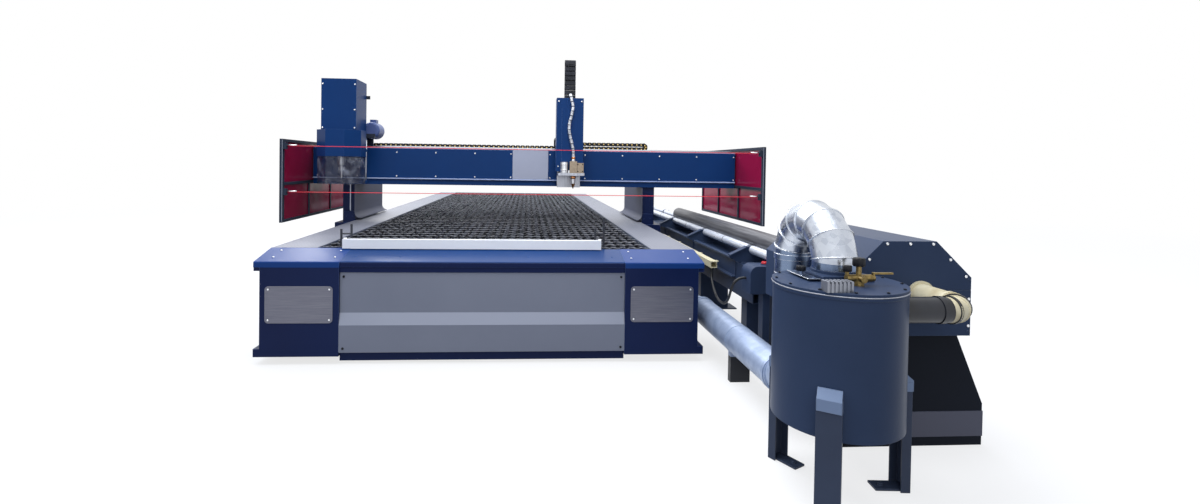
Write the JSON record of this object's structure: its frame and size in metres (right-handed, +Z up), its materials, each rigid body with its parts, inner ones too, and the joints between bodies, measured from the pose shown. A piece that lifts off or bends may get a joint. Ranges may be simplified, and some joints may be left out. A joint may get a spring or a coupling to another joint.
{
  "type": "cnc plasma cutting table",
  "caption": "Long cutting table with a zig-zag slat bed, moving gantry with torch and drilling heads, pipe station with chuck and rollers, and a ducted smoke separator drum.",
  "frame": {"origin": "floor level at the centre of the four anchor holes, which is the centre of the table", "axes": "+Z up, +Y from the operator end towards the rear end of the table, +X to the right seen from the operator end"},
  "size_m": [5.17, 11.3087, 2.757],
  "materials": {
    "dark_frame": "satin",
    "blue_paint": "semi-gloss",
    "silver_paint": "satin",
    "silver_plate": "satin",
    "walkway_plate": "matte",
    "slat_steel": "scaled",
    "tray_steel": "matte",
    "rail_steel": "ground",
    "white_bar": "matte",
    "red_panel": "tinted sheet",
    "chain_plastic": "matte",
    "saddle_steel": "satin",
    "slide_plate": "brushed",
    "clamp_metal": "machined",
    "torch_copper": "machined",
    "lead_sleeve": "woven sleeve",
    "clear_sheet": "clear sheet",
    "motor_paint": "semi-gloss",
    "slate_paint": "satin",
    "roller_chrome": "polished",
    "cream_paint": "satin",
    "red_button": "gloss",
    "black_rubber": "matte",
    "galvanised": "galvanised",
    "brass_body": "satin",
    "black_handle": "matte",
    "duct_silver": "satin",
    "black_duct": "satin",
    "cream_hose": "matte",
    "chuck_steel": "machined",
    "jaw_steel": "hardened",
    "pipe_steel": "mill scale"
  },
  "bodies": {
    "table": {"base_frame": "dark_frame", "body_shell": "blue_paint", "cabinet_left": "blue_paint", "cabinet_right": "blue_paint", "cap_mid": "blue_paint", "front_panel": "silver_paint", "badge_plates": "silver_plate", "walkways": "walkway_plate", "slat_frame": "dark_frame", "slat_bed": "slat_steel", "suction_trays": "tray_steel", "rails_and_racks": "rail_steel", "squaring_bar": "white_bar", "bench_frame": "slate_paint", "bench_arms": "slate_paint", "bench_cover": "slate_paint", "cable_tray": "cream_paint", "bench_hose": "black_rubber", "drum_shell": "slate_paint", "drum_lid": "slate_paint", "drum_legs": "dark_frame", "valve_body": "brass_body", "top_bend": "galvanised", "floor_duct": "duct_silver", "side_duct": "black_duct", "side_elbow": "cream_hose", "housing": "slate_paint", "pedestal": "slate_paint"},
    "gantry": {"gantry_beam": "blue_paint", "beam_covers": "blue_paint", "beam_cover_mid": "silver_paint", "gantry_legs": "blue_paint", "leg_shields": "silver_paint", "guard_frames": "dark_frame", "guard_panels": "red_panel", "beam_chain": "chain_plastic", "beam_rails": "rail_steel"},
    "torch_carriage": {"torch_saddle": "saddle_steel", "torch_column": "blue_paint", "lift_chain": "chain_plastic"},
    "torch_lift": {"torch_slide": "slide_plate", "torch_clamp": "clamp_metal", "plasma_torch": "torch_copper", "torch_lead": "lead_sleeve"},
    "drill_carriage": {"drill_saddle": "saddle_steel", "drill_column": "blue_paint", "drill_motor": "motor_paint"},
    "drill_lift": {"drill_head": "blue_paint", "drill_skirt": "clear_sheet"},
    "spindle": {"drill_spindle": "rail_steel"},
    "chuck_rotor": {"chuck": "chuck_steel", "pipe_blank": "pipe_steel"},
    "jaw_1": {"jaw_a": "jaw_steel"},
    "jaw_2": {"jaw_b": "jaw_steel"},
    "jaw_3": {"jaw_c": "jaw_steel"},
    "near_roller": {"roller_near": "roller_chrome"},
    "far_roller": {"roller_far": "roller_chrome"},
    "gate": {"gate_blade": "galvanised"},
    "lever": {"valve_lever": "black_handle"},
    "estop": {"estop_button": "red_button"}
  },
  "joints": [
    {"name": "gantry_travel", "type": "slide", "parent": "table", "child": "gantry", "axis": [0, 1, 0], "range_m": [-1.2, 5.3]},
    {"name": "torch_travel", "type": "slide", "parent": "gantry", "child": "torch_carriage", "axis": [1, 0, 0], "range_m": [-0.9, 1.5]},
    {"name": "torch_lift_travel", "type": "slide", "parent": "torch_carriage", "child": "torch_lift", "axis": [0, 0, 1], "range_m": [-0.4, 0.01], "deforming": ["torch_lead"]},
    {"name": "drill_travel", "type": "slide", "parent": "gantry", "child": "drill_carriage", "axis": [1, 0, 0], "range_m": [0, 0.7]},
    {"name": "drill_lift_travel", "type": "slide", "parent": "drill_carriage", "child": "drill_lift", "axis": [0, 0, 1], "range_m": [-0.38, 0]},
    {"name": "spindle_spin", "type": "hinge", "parent": "drill_lift", "child": "spindle", "pos_m": [-1.775, -2.46, 1.6], "axis": [0, 0, 1], "continuous": true},
    {"name": "chuck_spin", "type": "hinge", "parent": "table", "child": "chuck_rotor", "pos_m": [2.34, -5.05, 0.887], "axis": [0, 1, 0], "continuous": true},
    {"name": "jaw_1_slide", "type": "slide", "parent": "chuck_rotor", "child": "jaw_1", "axis": [0, 0, 1], "range_m": [0, 0.012]},
    {"name": "jaw_2_slide", "type": "slide", "parent": "chuck_rotor", "child": "jaw_2", "axis": [-0.866, 0, -0.5], "range_m": [0, 0.012]},
    {"name": "jaw_3_slide", "type": "slide", "parent": "chuck_rotor", "child": "jaw_3", "axis": [0.866, 0, -0.5], "range_m": [0, 0.012]},
    {"name": "near_roller_spin", "type": "hinge", "parent": "table", "child": "near_roller", "pos_m": [2.245, -3.65, 0.81701], "axis": [0, 1, 0], "continuous": true},
    {"name": "far_roller_spin", "type": "hinge", "parent": "table", "child": "far_roller", "pos_m": [2.435, -3.65, 0.81701], "axis": [0, 1, 0], "continuous": true},
    {"name": "gate_slide", "type": "slide", "parent": "table", "child": "gate", "axis": [1, 0, 0], "range_m": [-0.1, 0.02]},
    {"name": "lever_turn", "type": "hinge", "parent": "table", "child": "lever", "pos_m": [1.907, -6.447, 1.02], "axis": [1, 0, 0], "range_deg": [0, 90]},
    {"name": "estop_press", "type": "slide", "parent": "table", "child": "estop", "axis": [0, 0, 1], "range_m": [-0.004, 0], "stiffness_N_per_m": 900, "springref_m": 0.001}
  ],
  "couplings": [
    {"joint": "jaw_2_slide", "follows": "jaw_1_slide", "ratio": 1},
    {"joint": "jaw_3_slide", "follows": "jaw_1_slide", "ratio": 1}
  ]
}
